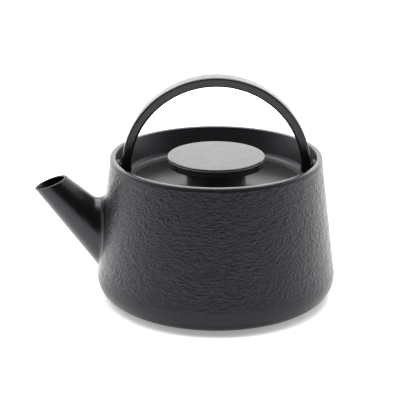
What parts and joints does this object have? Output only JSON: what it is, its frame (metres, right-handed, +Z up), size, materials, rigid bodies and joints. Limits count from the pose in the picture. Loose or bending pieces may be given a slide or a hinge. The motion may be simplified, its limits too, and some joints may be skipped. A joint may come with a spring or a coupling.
{
  "type": "teapot",
  "caption": "Black cast-iron teapot: tapered pot, straight spout, recessed lid with a broad disc knob, lift-out infuser, bail handle that folds down inside the collar.",
  "frame": {"origin": "centre of the flat base", "axes": "+Z up, spout towards -X, handle pivot axis along X"},
  "size_m": [0.213, 0.17, 0.1593],
  "materials": {
    "pot_casting": "matt black enamel over wrinkled casting",
    "spout_casting": "satin black enamel",
    "lid_casting": "satin black enamel",
    "knob_enamel": "semi-gloss black enamel",
    "handle_paint": "satin black",
    "pin_steel": "black oxide",
    "stainless": "brushed",
    "stainless_mesh": "perforated sheet"
  },
  "bodies": {
    "pot": {"pot_body": "pot_casting", "spout": "spout_casting", "pivot_pin_left": "pin_steel", "pivot_pin_right": "pin_steel", "pivot_washer_left": "pin_steel", "pivot_washer_right": "pin_steel"},
    "handle": {"handle": "handle_paint"},
    "lid": {"lid": "lid_casting", "knob": "knob_enamel", "knob_screw": "stainless", "knob_washer": "stainless"},
    "infuser": {"infuser_rim": "stainless", "infuser_wall": "stainless_mesh", "infuser_base": "stainless_mesh"}
  },
  "joints": [
    {"name": "handle_swing", "type": "hinge", "parent": "pot", "child": "handle", "pos_m": [0, 0, 0.093], "axis": [1, 0, 0], "range_deg": [-90, 90]},
    {"name": "lid_lift", "type": "slide", "parent": "pot", "child": "lid", "axis": [0, 0, 1], "range_m": [0, 0.013]},
    {"name": "infuser_lift", "type": "slide", "parent": "pot", "child": "infuser", "axis": [0, 0, 1], "range_m": [0, 0.0117]}
  ],
  "couplings": [
    {"joint": "infuser_lift", "follows": "lid_lift", "ratio": 0.9}
  ]
}
